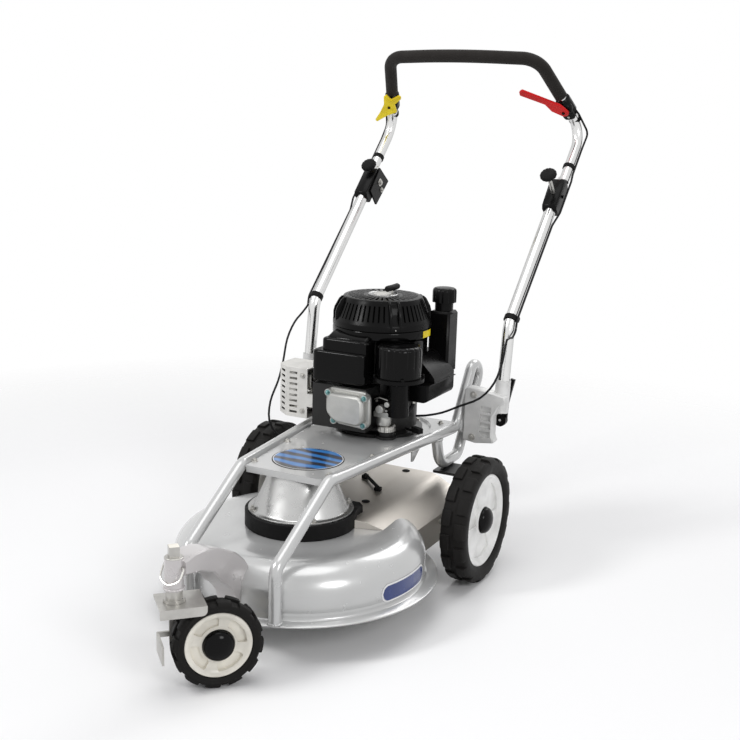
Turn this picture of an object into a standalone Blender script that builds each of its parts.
"""Petrol lawn mower with a round mulching deck, a caster front wheel and a folding handle.

Metres, +Z up. The driving frame has the rear axle at y = 0 and the ground at z = 0; the front of
the machine is toward -Y and +X is its left-hand side as the operator stands behind it. The last
step moves the whole machine so that the world origin lies under the middle of its bounding box.
"""

import math

import bmesh
import bpy
from mathutils import Matrix, Vector

MM = 0.001
GAP = 0.3 * MM              # air between two pieces that touch
RUNNING = 0.5 * MM          # radial clearance of a turning shaft in its bore

# Wheels
REAR_WHEEL_R = 140 * MM
REAR_TYRE_WIDTH = 60 * MM
REAR_SIDEWALL = 37 * MM
REAR_RIM_R = REAR_WHEEL_R - REAR_SIDEWALL
REAR_TRACK_X = 265 * MM     # middle of a rear tyre
REAR_BLOCKS = 16
FRONT_WHEEL_R = 83 * MM
FRONT_TYRE_WIDTH = 44 * MM
FRONT_SIDEWALL = 21 * MM
FRONT_RIM_R = FRONT_WHEEL_R - FRONT_SIDEWALL
FRONT_BLOCKS = 12
TREAD_DEPTH = 6 * MM
AXLE_R = 8 * MM
HUB_CAP_R = 30 * MM
HUB_CAP_HEIGHT = 17 * MM
RIM_POCKETS = (3, 62, 6)            # count, degrees each spans, skew of the inner edge
RIM_POCKET_RADII = (HUB_CAP_R + 6 * MM, REAR_RIM_R - 17 * MM)
FRONT_RIM_POCKETS = (4, 64, 0)
FRONT_POCKET_RADII = (HUB_CAP_R + 4.5 * MM, FRONT_RIM_R - 10 * MM)
RIM_POCKET_DEPTH = 4 * MM

# Caster
CASTER_Y = -748 * MM        # swivel axis
CASTER_ANGLE = -43.7        # degrees, as the wheel stands in the photograph
CASTER_TRAIL = 76 * MM
WHEEL_CLEARANCE = 8 * MM    # free air round the swinging wheel
ARM_WIDTH = 46 * MM
PIVOT_TUBE_R = 17 * MM
PIVOT_TUBE_Z = 194 * MM
PIVOT_TUBE_TOP = 252 * MM
STEM_R = 12 * MM
STEM_SQUARE = 18.5 * MM
STEM_TOP = 274 * MM
BAIL_Z = 236 * MM
BAIL_WIRE_R = 1.8 * MM
FORK_TOP_Z = 171 * MM
FORK_PLATE_T = 5 * MM
FORK_HALF_WIDTH = 38 * MM
FORK_LEAD = 31 * MM         # plate in front of the swivel axis
FORK_TAIL = 52 * MM         # plate behind the swivel axis
FORK_LIP = 13 * MM
ARM_TOP = [                 # upper edge of the arm from the tube to the deck: y, z
    (-748 * MM, 247 * MM), (-717 * MM, 252 * MM), (-681 * MM, 250 * MM), (-650 * MM, 241 * MM),
    (-624 * MM, 230 * MM), (-584 * MM, 209 * MM), (-556 * MM, 186 * MM), (-540 * MM, 166 * MM),
]

# Deck
DECK_Y = -314 * MM
DECK_FLANGE_R = 288 * MM
DECK_WALL_R = 262 * MM
DECK_SHEET = 3 * MM
DECK_FLANGE_Z = 76 * MM
DECK_FLANGE_T = 4 * MM
DECK_WALL_TOP = 118 * MM
DECK_CREST_R = 202 * MM
DECK_CREST_Z = 178 * MM
DECK_SEAT_R = 126 * MM
DECK_SEAT_Z = 180 * MM
SPINDLE_HOUSING_R = 29.5 * MM

# Belt housing on the deck
COLLAR_R = 116 * MM
COLLAR_BORE = 100 * MM
COLLAR_HEIGHT = 32 * MM
COLLAR_TAIL_X = 104 * MM
COLLAR_TAIL_Y = -222 * MM
CONE_FOOT_R = 96 * MM
CONE_TOP_R = 64 * MM
CONE_SHEET = 3 * MM
CONE_FLANGE_R = 109 * MM

# Rear housing
HOUSING_SHEET = 3 * MM
HOUSING_TOP_Z = 198 * MM
HOUSING_TOP_X = 128 * MM
HOUSING_SIDE_X = 204 * MM
HOUSING_SIDE_Z = 156 * MM
HOUSING_FOOT_Z = 95 * MM
HOUSING_FRONT_Y = -296 * MM
HOUSING_REAR_Y = 84 * MM

# Tubular frame
FRAME_TUBE_R = 12.5 * MM
FRAME_FOOT_X = 100 * MM
FRAME_BEND_Z = 188 * MM
RAIL_Z = 306 * MM
RAIL_FRONT = (103 * MM, -381 * MM)
HOOP_X = 157 * MM
HOOP_LEAN = math.radians(32)
HOOP_BEND = 26 * MM
HOOP_TOP = (212 * MM, 410 * MM)     # centre of the top bend: y, z
HOOP_FLOOR_Z = 236 * MM
HOOP_FRONT_LEG_Y = 33 * MM
AXLE_PLATE_X = 212 * MM
AXLE_PLATE_T = 6 * MM

# Engine plate
PLATE_T = 4 * MM
PLATE_LIP = 14 * MM
PLATE_REAR_Y = 150 * MM
DISH_R = 122 * MM
DISH_DEPTH = 6 * MM

# Drive
ENGINE_Y = 36 * MM
PULLEY_Z = 270 * MM
PULLEY_R = 48 * MM
PULLEY_HALF_WIDTH = 12 * MM
BELT_THICKNESS = 7 * MM
BELT_HALF_WIDTH = 5 * MM
CRANK_R = 12.5 * MM
BLADE_LENGTH = 500 * MM
BLADE_WIDTH = 62 * MM
BLADE_T = 5 * MM
BLADE_Z = 90 * MM

# Engine, measured from the crank axis and from the floor of the plate's dish
CRANKCASE_R = 86 * MM
CRANKCASE_FOOT_R = 100 * MM
CRANKCASE_TOP = 127.5 * MM
BLOCK_X = (-96 * MM, 38 * MM)
BLOCK_Z = (25 * MM, 122 * MM)
BLOCK_FRONT = -144 * MM
FIN_COUNT = 6
FIN_DEPTH = 17 * MM
VALVE_COVER_DEPTH = 31 * MM
SHROUD_R = 112 * MM
SHROUD_WAIST_R = 104 * MM
SHROUD_Z = (128 * MM, 243 * MM)
COVER_HEIGHT = 66 * MM
COVER_CROWN_R = 88 * MM
COVER_GRILLE_SLOTS = 20
COVER_LUG_ANGLE = -48       # degrees
GRIP_CENTRE = (10 * MM, 26 * MM)
GRIP_LENGTH = 62 * MM
GRIP_LIFT = 13.5 * MM       # middle of the grip above the cover
ROPE_R = 2 * MM
FILTER_CENTRE = (92 * MM, -96 * MM)
FILTER_R = 50 * MM
FILTER_Z = (151 * MM, 221 * MM)
FILTER_FLANGE_R = 57 * MM
FILTER_NECK_R = 25 * MM
FILTER_FLUTES = 12
TANK_X = 150 * MM
TANK_Y = (-66 * MM, 78 * MM)
TANK_Z = 89 * MM
FILLER_BOX = (111 * MM, 91 * MM)
NECK_R = 21 * MM
CAP_R = 27.5 * MM
OIL_FILLER = (64 * MM, -92 * MM)
GUARD_FRONT = -134 * MM
GUARD_X = (-202 * MM, -116 * MM)
GUARD_Z = (32 * MM, 146 * MM)
GUARD_ROWS = 8

# Handle
HANDLE_X = 255 * MM
UPPER_X = 262 * MM          # the upper handle sits a little farther out
HANDLE_PIVOT = (170 * MM, 325 * MM)     # y, z of the cam shaft
CAM_SHAFT_R = 6 * MM
CAM_X = 247 * MM            # cross pin of a cam lever
CAM_HUB_R = 15 * MM
CAM_HALF_WIDTH = 7 * MM
CAM_EYE_R = 8 * MM
CAM_PIN_R = 3 * MM
BRACKET_RIBS = 4
LOWER_TUBE_R = 14 * MM
UPPER_TUBE_R = 12.5 * MM
GRIP_R = 15.5 * MM
HANDLE_FOOT = (144 * MM, 352 * MM)
HANDLE_BEND = (170 * MM, 552 * MM)
FOLD_PIVOT = (440 * MM, 822 * MM)       # y, z of the fold pins
FOLD_PIN_R = 4 * MM
CLAMP_HALF_WIDTH = 18 * MM
TONGUE_HALF_WIDTH = 8 * MM
HANDLE_KNEE = (593 * MM, 975 * MM)
HANDLE_SHOULDER = (196 * MM, 425 * MM, 1142 * MM)
HANDLE_BAR = (384 * MM, 1147 * MM)
GRIP_START = 0.49                       # share of the run from knee to shoulder
CABLE_BREAK = 79 * MM       # along the tube from the fold pin
KNOB_R = 20 * MM
KNOBS = (                   # left and right: seat along the tube, length of the stem
    (-6 * MM, 54 * MM), (34 * MM, 7 * MM),
)
HOUSING_SHARES = (0.29, 0.46)           # lever housings on the same run
HOUSING_R = 18.5 * MM
LEVER_SHARE = 0.37
LEVER_SEAT = 20 * MM
LEVER_T = 7 * MM
LEVER_PIN_R = 3.5 * MM

# Cables
CABLE_R = 2.5 * MM
CABLE_CLIP = (168 * MM, 544 * MM)       # y, z where the free stretch begins
STOP_CABLE = [                          # millimetres, from the clip to the engine
    (272.5, 167.9, 543.6), (272.5, 166.8, 539), (273, 146, 525), (273, 112, 526),
    (273, 92, 480), (264, 70, 434), (236, 60, 398), (190, 58, 374), (150, 52, 354),
    (112, 45, 343), (90, 41, 340),
]
DRIVE_CABLE = [                         # millimetres, from the clip to the rear housing
    (-272.5, 167.9, 543.6), (-272.5, 166.8, 539), (-273.5, 142, 524), (-274, 106, 505),
    (-273, 72, 470), (-262, 36, 422), (-250, -4, 386), (-246, -44, 345), (-240, -58, 302),
    (-226, -46, 268), (-198, -24, 248), (-160, -8, 240), (-124, -4, 230), (-114, -3, 212),
    (-113, -3, 198.6),
]

ROUND = 24
SMALL_ROUND = 14
DECK_ROUND = 36
TUBE_SIDES = 10
BEND_STEPS = 3


# Building helpers

def material(name, colour, roughness, metallic=0.0):
    """A Principled material, made once for each name."""
    made = bpy.data.materials.get(name)
    if made:
        return made
    made = bpy.data.materials.new(name)
    made.use_nodes = True
    shader = made.node_tree.nodes["Principled BSDF"]
    shader.inputs["Base Color"].default_value = (*colour, 1.0)
    shader.inputs["Roughness"].default_value = roughness
    shader.inputs["Metallic"].default_value = metallic
    return made


def paint_silver():
    return material("silver_paint", (0.60, 0.62, 0.64), 0.30, 0.35)


def steel():
    return material("steel", (0.62, 0.61, 0.58), 0.32, 1.0)


def cast_alloy():
    return material("cast_alloy", (0.70, 0.70, 0.68), 0.50, 0.6)


def polished_tube():
    return material("polished_tube", (0.75, 0.75, 0.75), 0.15, 1.0)


def black_plastic():
    return material("black_plastic", (0.015, 0.015, 0.016), 0.45)


def gloss_black():
    return material("gloss_black", (0.01, 0.01, 0.01), 0.15)


def tyre_rubber():
    return material("tyre_rubber", (0.022, 0.019, 0.017), 0.75)


def rim_plastic():
    return material("rim_plastic", (0.80, 0.80, 0.76), 0.35)


def foam():
    return material("foam", (0.03, 0.03, 0.032), 0.9)


def red_plastic():
    return material("red_plastic", (0.75, 0.03, 0.03), 0.4)


def yellow_plastic():
    return material("yellow_plastic", (0.90, 0.68, 0.03), 0.4)


def link(name, data, parent, location=(0, 0, 0)):
    made = bpy.data.objects.new(name, data)
    bpy.context.scene.collection.objects.link(made)
    made.parent = parent
    made.location = location
    return made


def empty(name, parent, location=(0, 0, 0), turn=0.0):
    made = link(name, None, parent, location)
    made.rotation_euler.z = turn
    return made


def solid(name, bm, finish, parent, location=(0, 0, 0), smooth=35):
    """Turns a bmesh into an object, with round stretches shaded smooth."""
    bmesh.ops.recalc_face_normals(bm, faces=bm.faces)
    mesh = bpy.data.meshes.new(name)
    bm.to_mesh(mesh)
    bm.free()
    mesh.shade_smooth()
    mesh.set_sharp_from_angle(angle=math.radians(smooth))
    mesh.materials.append(finish)
    return link(name, mesh, parent, location)


def helper(name, bm, parent, location=(0, 0, 0)):
    """A cutter or a piece to be joined: it never renders."""
    made = solid(name, bm, black_plastic(), parent, location)
    made.hide_render = True
    made.display_type = "WIRE"
    return made


def boolean(target, tool, operation):
    step = target.modifiers.new(f"{operation.lower()}_{tool.name}", "BOOLEAN")
    step.object = tool
    step.operation = operation
    step.solver = "EXACT"


def cut(target, tool):
    boolean(target, tool, "DIFFERENCE")


def join(target, tool):
    boolean(target, tool, "UNION")


def soften(target, width, segments=1, angle=40):
    """Rounds the sharp edges of an object."""
    step = target.modifiers.new("rounded_edges", "BEVEL")
    step.width = width
    step.segments = segments
    step.limit_method = "ANGLE"
    step.angle_limit = math.radians(angle)
    step.harden_normals = False


def revolve(profile, segments=ROUND, centre=(0, 0)):
    """Turns a closed (radius, height) outline round the Z axis. Radius 0 lies on the axis."""
    bm = bmesh.new()
    rings = []
    for radius, height in profile:
        if radius == 0:
            rings.append([bm.verts.new((centre[0], centre[1], height))])
            continue
        ring = []
        for step in range(segments):
            angle = 2 * math.pi * step / segments
            ring.append(bm.verts.new((centre[0] + radius * math.cos(angle),
                                      centre[1] + radius * math.sin(angle), height)))
        rings.append(ring)
    for low, high in zip(rings, rings[1:] + rings[:1]):
        for step in range(segments):
            after = (step + 1) % segments
            corners = [low[step % len(low)], low[after % len(low)],
                       high[after % len(high)], high[step % len(high)]]
            corners = list(dict.fromkeys(corners))
            if len(corners) > 2:
                bm.faces.new(corners)
    return bm


def turned(bm, axis):
    """Lays a revolved shape along X or Y in place of Z."""
    if axis == "X":
        bmesh.ops.rotate(bm, verts=bm.verts, matrix=Matrix.Rotation(math.radians(90), 3, "Y"))
    if axis == "Y":
        bmesh.ops.rotate(bm, verts=bm.verts, matrix=Matrix.Rotation(math.radians(-90), 3, "X"))
    return bm


def moved(bm, offset):
    bmesh.ops.translate(bm, verts=bm.verts, vec=Vector(offset))
    return bm


def disc(radius, bottom, top, segments=ROUND, centre=(0, 0)):
    return revolve([(0, bottom), (radius, bottom), (radius, top), (0, top)], segments, centre)


def prism(outline, start, end, plane="XY"):
    """Extrudes a flat outline. Plane XY goes up Z, YZ along X and XZ along Y."""
    bm = bmesh.new()

    def place(point, depth):
        if plane == "XY":
            return (point[0], point[1], depth)
        if plane == "YZ":
            return (depth, point[0], point[1])
        return (point[0], depth, point[1])

    low = [bm.verts.new(place(point, start)) for point in outline]
    high = [bm.verts.new(place(point, end)) for point in outline]
    bm.faces.new(low)
    bm.faces.new(high)
    for index in range(len(outline)):
        after = (index + 1) % len(outline)
        bm.faces.new((low[index], low[after], high[after], high[index]))
    return bm


def box(x, y, z):
    """A box between pairs of coordinates."""
    return prism([(x[0], y[0]), (x[1], y[0]), (x[1], y[1]), (x[0], y[1])], z[0], z[1])


def bore_radius(radius, sides, air=GAP):
    """Corner radius of a many-sided bore whose flats clear a round piece."""
    return (radius + air) / math.cos(math.pi / sides)


def arc(centre, radius, start, end, steps):
    """Points on a circle, angles in degrees."""
    points = []
    for step in range(steps + 1):
        angle = math.radians(start + (end - start) * step / steps)
        points.append((centre[0] + radius * math.cos(angle), centre[1] + radius * math.sin(angle)))
    return points


def rounded_path(points, radii, steps=BEND_STEPS):
    """A path through points whose inner corners are rounded with arcs."""
    path = [Vector(points[0])]
    for before, corner, after, radius in zip(points, points[1:], points[2:], radii):
        corner = Vector(corner)
        back = (Vector(before) - corner).normalized()
        ahead = (Vector(after) - corner).normalized()
        turn = math.pi - back.angle(ahead)
        reach = radius * math.tan(turn / 2)
        centre = corner + (back + ahead).normalized() * (radius / math.cos(turn / 2))
        start = corner + back * reach - centre
        end = corner + ahead * reach - centre
        for step in range(steps + 1):
            share = step / steps
            blend = (start * math.sin((1 - share) * turn) + end * math.sin(share * turn))
            path.append(centre + blend / math.sin(turn))
    path.append(Vector(points[-1]))
    return path


def sweep(path, radius, sides=TUBE_SIDES, bore=0.0):
    """A round tube along a path, open right through when it has a bore."""
    bm = bmesh.new()
    points = [Vector(point) for point in path]
    tangents = []
    for index in range(len(points)):
        before = points[max(index - 1, 0)]
        after = points[min(index + 1, len(points) - 1)]
        into = (points[index] - before).normalized()
        out = (after - points[index]).normalized()
        tangents.append((into + out).normalized())
    across = tangents[0].orthogonal().normalized()
    outer = []
    inner = []
    for index, (point, tangent) in enumerate(zip(points, tangents)):
        across = (across - tangent * across.dot(tangent)).normalized()
        up = tangent.cross(across)
        straight = 1.0
        if 0 < index < len(points) - 1:
            straight = max(tangent.dot((points[index + 1] - point).normalized()), 0.5)
        bend = Vector((0, 0, 0))
        if 0 < index < len(points) - 1:
            bend = (points[index - 1] + points[index + 1] - 2 * point)
            bend -= tangent * bend.dot(tangent)
            if bend.length > 1e-9:
                bend.normalize()
        for wanted, rings in ((radius, outer), (bore, inner)):
            if not wanted:
                continue
            ring = []
            for side in range(sides):
                angle = 2 * math.pi * (side + 0.5) / sides
                offset = (across * math.cos(angle) + up * math.sin(angle)) * wanted
                offset += bend * offset.dot(bend) * (1 / straight - 1)
                ring.append(bm.verts.new(point + offset))
            rings.append(ring)
    for rings in (outer, inner):
        for low, high in zip(rings, rings[1:]):
            for side in range(sides):
                after = (side + 1) % sides
                bm.faces.new((low[side], low[after], high[after], high[side]))
    for end in (0, -1):
        if not bore:
            bm.faces.new(outer[end])
            continue
        for side in range(sides):
            after = (side + 1) % sides
            bm.faces.new((outer[end][side], outer[end][after], inner[end][after], inner[end][side]))
    return bm


def trim(bm, point, normal):
    """Cuts a closed convex solid with a plane and keeps the side behind the normal."""
    parts = bm.verts[:] + bm.edges[:] + bm.faces[:]
    done = bmesh.ops.bisect_plane(bm, geom=parts, plane_co=Vector(point), plane_no=Vector(normal),
                                  clear_outer=True, dist=1e-7)
    edges = [piece for piece in done["geom_cut"] if isinstance(piece, bmesh.types.BMEdge)]
    bmesh.ops.edgeloop_fill(bm, edges=edges)
    return bm


def gathered(pieces):
    """One mesh that holds several closed pieces."""
    bm = bmesh.new()
    for piece in pieces:
        for face in piece.faces:
            bm.faces.new([bm.verts.new(vert.co) for vert in face.verts])
        piece.free()
    bmesh.ops.remove_doubles(bm, verts=bm.verts, dist=1e-6)
    return bm


# Wheels

def tyre_shape(radius, width, bore, blocks):
    """A ring with two rows of staggered tread blocks parted by a groove.

    Each cell round the tyre has one row raised and the other low. The raised blocks run out over
    the shoulder as lugs. The first cell border stands at the bottom, so a block edge is the lowest
    line of the tyre.
    """
    bm = bmesh.new()
    half = width / 2
    base = radius - TREAD_DEPTH
    groove = 0.035 * radius
    wall = base - 0.10 * radius
    side = [(-half * 0.80, bore), (-half, (bore + wall) / 2), (-half * 0.97, wall)]
    shoulder = (-half * 0.90, base)
    inner_edge = (-groove, base)
    block_high = [(-half * 0.97, base), (-half * 0.86, radius), (-groove, radius)]
    cells = 2 * blocks

    def ring_points(outline, step):
        angle = 2 * math.pi * step / cells - math.pi / 2
        return [bm.verts.new((x, r * math.cos(angle), r * math.sin(angle))) for x, r in outline]

    def flip(outline):
        return [(-x, r) for x, r in reversed(outline)]

    def chain(border, raised_left):
        left, right = border
        first = left["base"][:-1] + (left["high"] if raised_left else left["low"])
        first += [left["base"][-1]]
        second = [right["base"][0]]
        second += right["low"] if raised_left else right["high"]
        second += right["base"][1:]
        return first + second

    borders = []
    for step in range(cells):
        left = {"base": ring_points(side + [inner_edge], step),
                "low": ring_points([shoulder], step),
                "high": ring_points(block_high, step)}
        right = {"base": ring_points(flip(side + [inner_edge]), step),
                 "low": ring_points(flip([shoulder]), step),
                 "high": ring_points(flip(block_high), step)}
        borders.append((left, right))
    for step in range(cells):
        here = borders[step]
        there = borders[(step + 1) % cells]
        raised_left = step % 2 == 0
        near = chain(here, raised_left)
        far = chain(there, raised_left)
        for index in range(len(near)):
            after = (index + 1) % len(near)
            bm.faces.new((near[index], near[after], far[after], far[index]))
    for step in range(cells):
        left, right = borders[step]
        low_left = [left["base"][2]] + left["low"] + [left["base"][3]]
        high_left = [left["base"][2]] + left["high"] + [left["base"][3]]
        bm.faces.new(low_left + list(reversed(high_left[1:-1])))
        low_right = [right["base"][0]] + right["low"] + [right["base"][1]]
        high_right = [right["base"][0]] + right["high"] + [right["base"][1]]
        bm.faces.new(low_right + list(reversed(high_right[1:-1])))
    return bm


def rim_shape(radius, width, hub_bore, dish):
    """A moulded wheel centre: barrel, dished web and hub, turned about the X axis."""
    half = width / 2
    web = half - dish
    profile = [
        (hub_bore, -half * 0.9), (HUB_CAP_R * 0.9, -half * 0.9), (HUB_CAP_R * 0.9, web - 8 * MM),
        (radius - 9 * MM, web - 8 * MM), (radius - 9 * MM, -half * 0.8), (radius, -half * 0.8),
        (radius, half * 0.8), (radius - 3 * MM, half * 0.86), (radius - 8 * MM, half * 0.80),
        (radius - 14 * MM, web + 2 * MM), (HUB_CAP_R + 3 * MM, web), (HUB_CAP_R + 1 * MM, web + 3 * MM),
        (hub_bore, web + 3 * MM),
    ]
    return turned(revolve(profile, ROUND), "X")


def rim_pocket_cutter(name, radii, face, pockets, parent):
    """Curved windows sunk into the outer face of a rim, all in one cutter."""
    inner, outer = radii
    count, span, skew = pockets
    pieces = []
    for index in range(count):
        middle = 360 * index / count + 30
        outline = arc((0, 0), outer, middle - span / 2, middle + span / 2, 5)
        outline += arc((0, 0), inner, middle + span / 2 + skew, middle - span / 2 + skew, 4)
        pieces.append(prism(outline, face - RIM_POCKET_DEPTH, face + 20 * MM, "YZ"))
    return helper(name, gathered(pieces), parent)


def wheel(name, parent, radius, width, rim_radius, blocks, pocket_radii, pockets, outward):
    """Tyre, rim and hub cap on a spin empty. Outward is +1 when the cap faces +X."""
    bore = bore_radius(rim_radius, 2 * blocks)
    solid(f"{name}_tyre", tyre_shape(radius, width, bore, blocks), tyre_rubber(), parent)
    rim_width = width * 0.92
    dish = rim_width * 0.22
    web = rim_width / 2 - dish
    rim = solid(f"{name}_rim", rim_shape(rim_radius, rim_width, AXLE_R + RUNNING, dish),
                rim_plastic(), parent)
    cut(rim, rim_pocket_cutter(f"{name}_pockets", pocket_radii, web, pockets, rim))
    if outward < 0:
        rim.rotation_euler.z = math.pi
    seat = web + 3 * MM + GAP
    cap_profile = [(0, seat), (HUB_CAP_R, seat), (HUB_CAP_R, seat + 2 * MM)]
    for step in range(1, 5):
        angle = math.pi / 2 * step / 5
        cap_profile.append((HUB_CAP_R * math.cos(angle),
                            seat + 2 * MM + HUB_CAP_HEIGHT * math.sin(angle)))
    cap_profile.append((0, seat + 2 * MM + HUB_CAP_HEIGHT))
    cap = solid(f"{name}_hub_cap", turned(revolve(cap_profile, SMALL_ROUND), "X"),
                gloss_black(), parent)
    if outward < 0:
        cap.rotation_euler.z = math.pi
    return web


# Deck

def deck_outer(clearance=0.0):
    """Outer skin of the deck from the flange up to the centre: (radius, height) points."""
    c = clearance
    wall = DECK_WALL_R + c
    points = [
        (DECK_FLANGE_R + c, DECK_FLANGE_Z + DECK_FLANGE_T + c),
        (wall + 3 * MM, DECK_FLANGE_Z + DECK_FLANGE_T + c),
        (wall, DECK_FLANGE_Z + DECK_FLANGE_T + 7 * MM + c),
        (wall, DECK_WALL_TOP),
    ]
    drop = DECK_CREST_Z + c - DECK_WALL_TOP
    reach = wall - DECK_CREST_R
    for step in range(1, 5):
        angle = math.pi / 2 * step / 4
        points.append((DECK_CREST_R + reach * math.cos(angle), DECK_WALL_TOP + drop * math.sin(angle)))
    points.append(((DECK_CREST_R + DECK_SEAT_R) / 2, DECK_CREST_Z - 2 * MM + c))
    points.append((DECK_SEAT_R, DECK_SEAT_Z + c))
    return points


def deck_envelope(name, clearance):
    """The space that the deck fills, grown by a clearance, for cutting its neighbours."""
    skin = deck_outer(clearance)
    floor = DECK_FLANGE_Z - 20 * MM
    profile = [(0, floor), (DECK_FLANGE_R + clearance, floor)] + skin
    profile.append((0, DECK_SEAT_Z + clearance))
    return helper(name, revolve(profile, DECK_ROUND, (0, DECK_Y)), mower)


def deck_shell():
    skin = deck_outer()
    sheet = DECK_SHEET
    lining = [(SPINDLE_HOUSING_R + RUNNING, DECK_SEAT_Z - sheet)]
    lining.append((DECK_SEAT_R, DECK_SEAT_Z - sheet))
    lining.append(((DECK_CREST_R + DECK_SEAT_R) / 2, DECK_CREST_Z - 2 * MM - sheet))
    drop = DECK_CREST_Z - DECK_WALL_TOP - sheet
    reach = DECK_WALL_R - DECK_CREST_R - sheet
    for step in range(4, -1, -1):
        angle = math.pi / 2 * step / 4
        lining.append((DECK_CREST_R + reach * math.cos(angle), DECK_WALL_TOP + drop * math.sin(angle)))
    lining.append((DECK_WALL_R - sheet, DECK_FLANGE_Z + DECK_FLANGE_T))
    lining.append((DECK_WALL_R + 2 * MM, DECK_FLANGE_Z))
    profile = skin + [(SPINDLE_HOUSING_R + RUNNING, DECK_SEAT_Z)] + lining
    profile.append((DECK_FLANGE_R, DECK_FLANGE_Z))
    shell = solid("deck_shell", revolve(profile, DECK_ROUND, (0, DECK_Y)), paint_silver(), mower)
    sweep_r = math.hypot(CASTER_TRAIL + FRONT_WHEEL_R, FRONT_TYRE_WIDTH / 2) + WHEEL_CLEARANCE
    notch = helper("caster_sweep", disc(sweep_r, DECK_FLANGE_Z - 10 * MM,
                                        DECK_FLANGE_Z + DECK_FLANGE_T + 6 * MM, 36,
                                        (0, CASTER_Y)), mower)
    cut(shell, notch)
    return shell


def collar_outline(radius, tail_x, tail_y):
    """A half circle in front, straight sides back to a flat tail."""
    front = math.degrees(math.acos(tail_x / radius))
    outline = arc((0, DECK_Y), radius, 180 - front, 360 + front, 24)
    outline.append((tail_x, tail_y - 14 * MM))
    outline.append((tail_x - 14 * MM, tail_y))
    outline.append((-tail_x + 14 * MM, tail_y))
    outline.append((-tail_x, tail_y - 14 * MM))
    return outline


def hub_collar():
    """Black collar between the deck and the spindle cone, open at the middle."""
    bottom = DECK_SEAT_Z + GAP
    shape = prism(collar_outline(COLLAR_R, COLLAR_TAIL_X, COLLAR_TAIL_Y), bottom,
                  bottom + COLLAR_HEIGHT)
    collar = solid("hub_collar", shape, black_plastic(), mower)
    bore = helper("collar_bore", disc(COLLAR_BORE, bottom - 10 * MM, bottom + 60 * MM, ROUND,
                                      (0, DECK_Y)), mower)
    cut(collar, bore)


def spindle_cone():
    """Steel cone over the spindle pulley, bolted to the collar, with a mouth for the belt."""
    foot = DECK_SEAT_Z + COLLAR_HEIGHT + 2 * GAP
    top = RAIL_Z - PLATE_T / 2 - GAP
    sheet = CONE_SHEET
    profile = [
        (CONE_FLANGE_R, foot), (CONE_FLANGE_R, foot + sheet), (CONE_FOOT_R + 3 * MM, foot + sheet),
        (CONE_FOOT_R, foot + sheet + 4 * MM), (CONE_TOP_R, top - 6 * MM), (CONE_TOP_R - 4 * MM, top),
        (CONE_TOP_R - 4 * MM - sheet, top), (CONE_TOP_R - sheet, top - 6 * MM),
        (CONE_FOOT_R - sheet, foot + sheet + 4 * MM), (CONE_FOOT_R - sheet, foot),
    ]
    cone = solid("spindle_cone", revolve(profile, ROUND, (0, DECK_Y)), steel(), mower)
    mouth_x = PULLEY_R + 6 * MM
    mouth = helper("belt_mouth", box((-mouth_x, mouth_x), (DECK_Y + 20 * MM, DECK_Y + 120 * MM),
                                     (PULLEY_Z - PULLEY_HALF_WIDTH, PULLEY_Z + PULLEY_HALF_WIDTH)),
                   mower)
    cut(cone, mouth)
    for index in range(4):
        angle = math.radians(45 + 90 * index)
        centre = (102.5 * MM * math.cos(angle), DECK_Y + 102.5 * MM * math.sin(angle))
        stud = helper(f"cone_stud_{index}", disc(4.5 * MM, foot + 1 * MM, foot + 9 * MM, 6, centre),
                      mower)
        join(cone, stud)


def spindle_bearing():
    bore = STEM_R + RUNNING
    outer = SPINDLE_HOUSING_R
    seat = DECK_SEAT_Z + GAP
    top = PULLEY_Z - PULLEY_HALF_WIDTH - 4 * MM
    profile = [
        (bore, 108 * MM), (outer, 108 * MM), (outer, seat), (outer + 24 * MM, seat),
        (outer + 24 * MM, seat + 7 * MM), (outer, seat + 12 * MM), (outer - 3 * MM, top), (bore, top),
    ]
    solid("spindle_bearing", revolve(profile, SMALL_ROUND, (0, DECK_Y)), cast_alloy(), mower)


def housing_block(sheet):
    """The rear housing's outer form, drawn in by a sheet thickness."""
    s = sheet
    profile = [
        (-HOUSING_SIDE_X + s, HOUSING_FOOT_Z - s), (-HOUSING_SIDE_X + s, HOUSING_SIDE_Z),
        (-HOUSING_TOP_X - 8 * MM + s / 2, HOUSING_TOP_Z - 6 * MM - s),
        (-HOUSING_TOP_X + 10 * MM, HOUSING_TOP_Z - s), (HOUSING_TOP_X - 10 * MM, HOUSING_TOP_Z - s),
        (HOUSING_TOP_X + 8 * MM - s / 2, HOUSING_TOP_Z - 6 * MM - s),
        (HOUSING_SIDE_X - s, HOUSING_SIDE_Z), (HOUSING_SIDE_X - s, HOUSING_FOOT_Z - s),
    ]
    bm = prism(profile, HOUSING_FRONT_Y + s, HOUSING_REAR_Y - s, "XZ")
    for side in (-1, 1):
        corner = Vector((side * (HOUSING_SIDE_X - 14 * MM), HOUSING_FRONT_Y + 51 * MM, 0))
        normal = Vector((side * 51, -86, 0)).normalized()
        trim(bm, corner - normal * s, normal)
        rear = Vector((side * HOUSING_SIDE_X, HOUSING_REAR_Y - 30 * MM, 0))
        normal = Vector((side, 1, 0)).normalized()
        trim(bm, rear - normal * s, normal)
    return bm


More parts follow.
